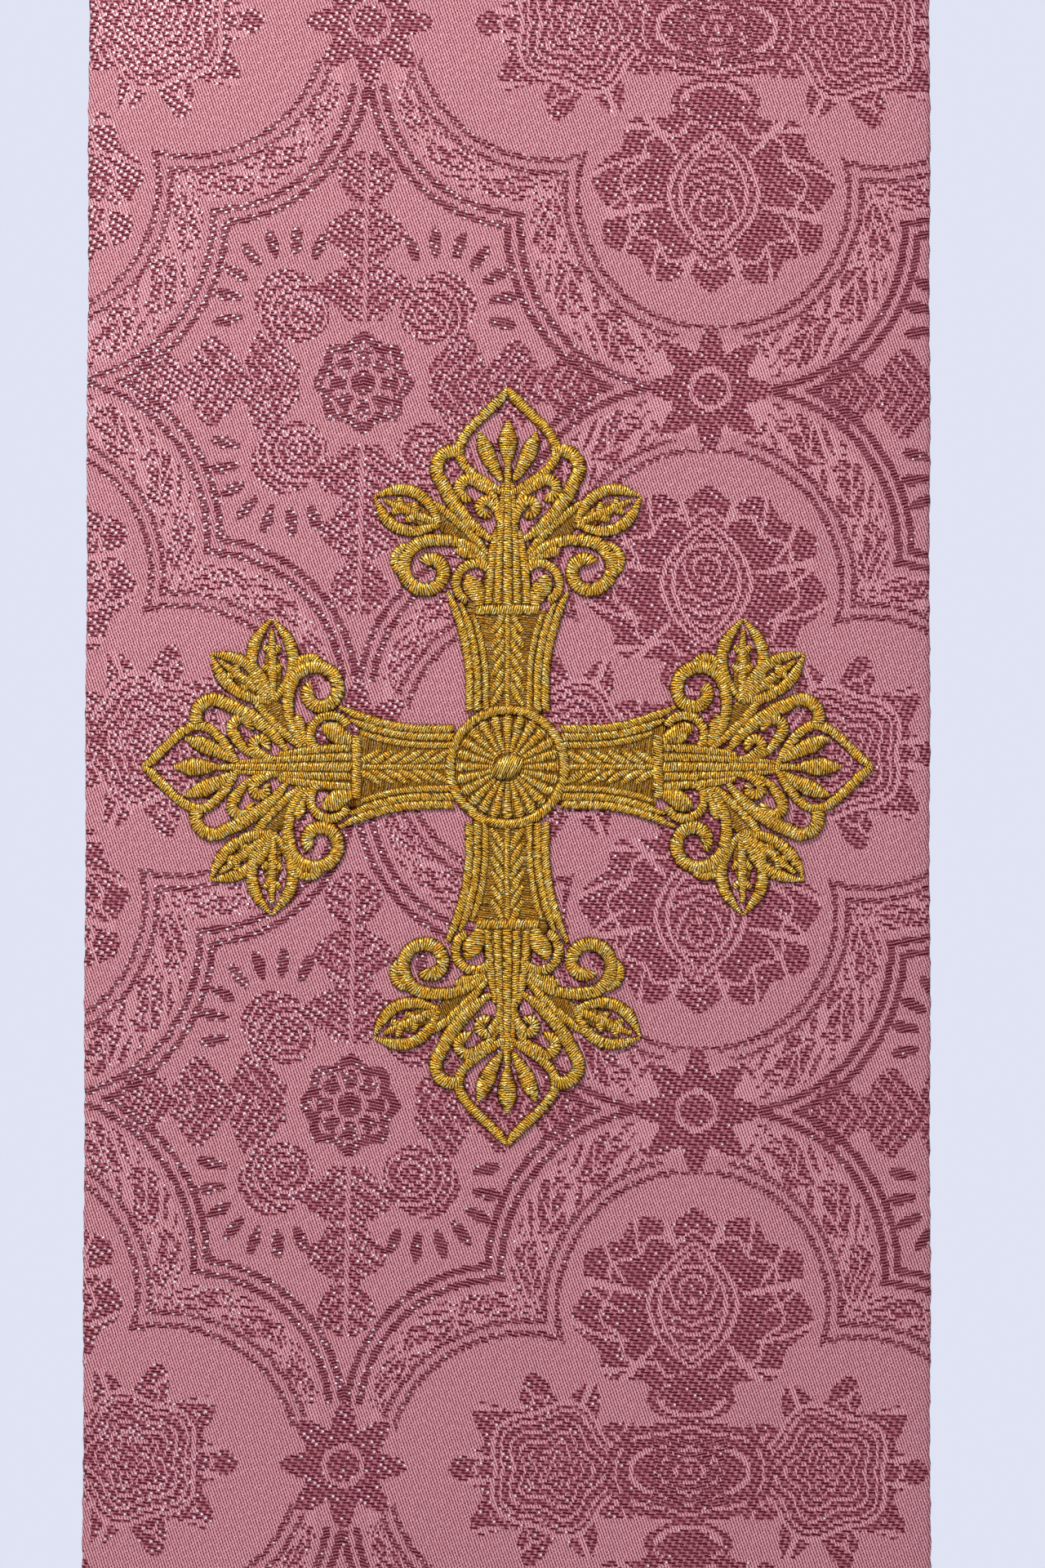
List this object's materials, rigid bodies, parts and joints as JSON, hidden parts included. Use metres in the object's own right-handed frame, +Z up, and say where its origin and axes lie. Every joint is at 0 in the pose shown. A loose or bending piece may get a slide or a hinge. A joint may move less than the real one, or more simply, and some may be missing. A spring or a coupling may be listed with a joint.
{
  "type": "clerical stole",
  "caption": "Long lined clerical stole of brocade, worn round the neck, with an embroidered ornamental cross near each hem.",
  "frame": {"origin": "middle of the nape seam, on the side that lies on the wearer's neck", "axes": "+Z up, the wearer faces -Y, the wearer's left is +X"},
  "size_m": [0.3682, 0.25, 1.1709],
  "materials": {
    "rose_brocade": "rose-pink metallic brocade, satin ground with floated figures, lined",
    "gold_thread": "raised satin stitch in shiny gold thread"
  },
  "bodies": {
    "root": {"band_left": "rose_brocade", "band_right": "rose_brocade", "cross_left": "gold_thread", "cross_right": "gold_thread"}
  },
  "joints": []
}
